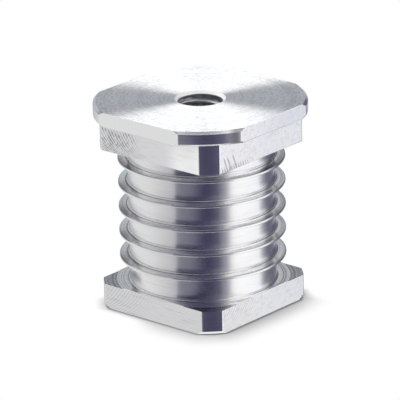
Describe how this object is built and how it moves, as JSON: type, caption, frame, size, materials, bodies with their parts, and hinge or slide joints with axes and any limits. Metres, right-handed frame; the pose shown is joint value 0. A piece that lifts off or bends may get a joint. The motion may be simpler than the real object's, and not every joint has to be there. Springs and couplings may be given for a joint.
{
  "type": "threaded tube insert",
  "caption": "Square tube end insert turned and milled from aluminium, with a wide head, a finned waist and a tapped hole down its axis.",
  "frame": {"origin": "middle of the flat underside, on the axis of the tapped hole", "axes": "+Z along the tapped hole towards the head, +X and +Y square to the milled flats"},
  "size_m": [0.04, 0.04, 0.0454],
  "materials": {
    "aluminium": "bright turned and milled, with fine tool marks"
  },
  "bodies": {
    "root": {"tube_insert": "aluminium"}
  },
  "joints": []
}
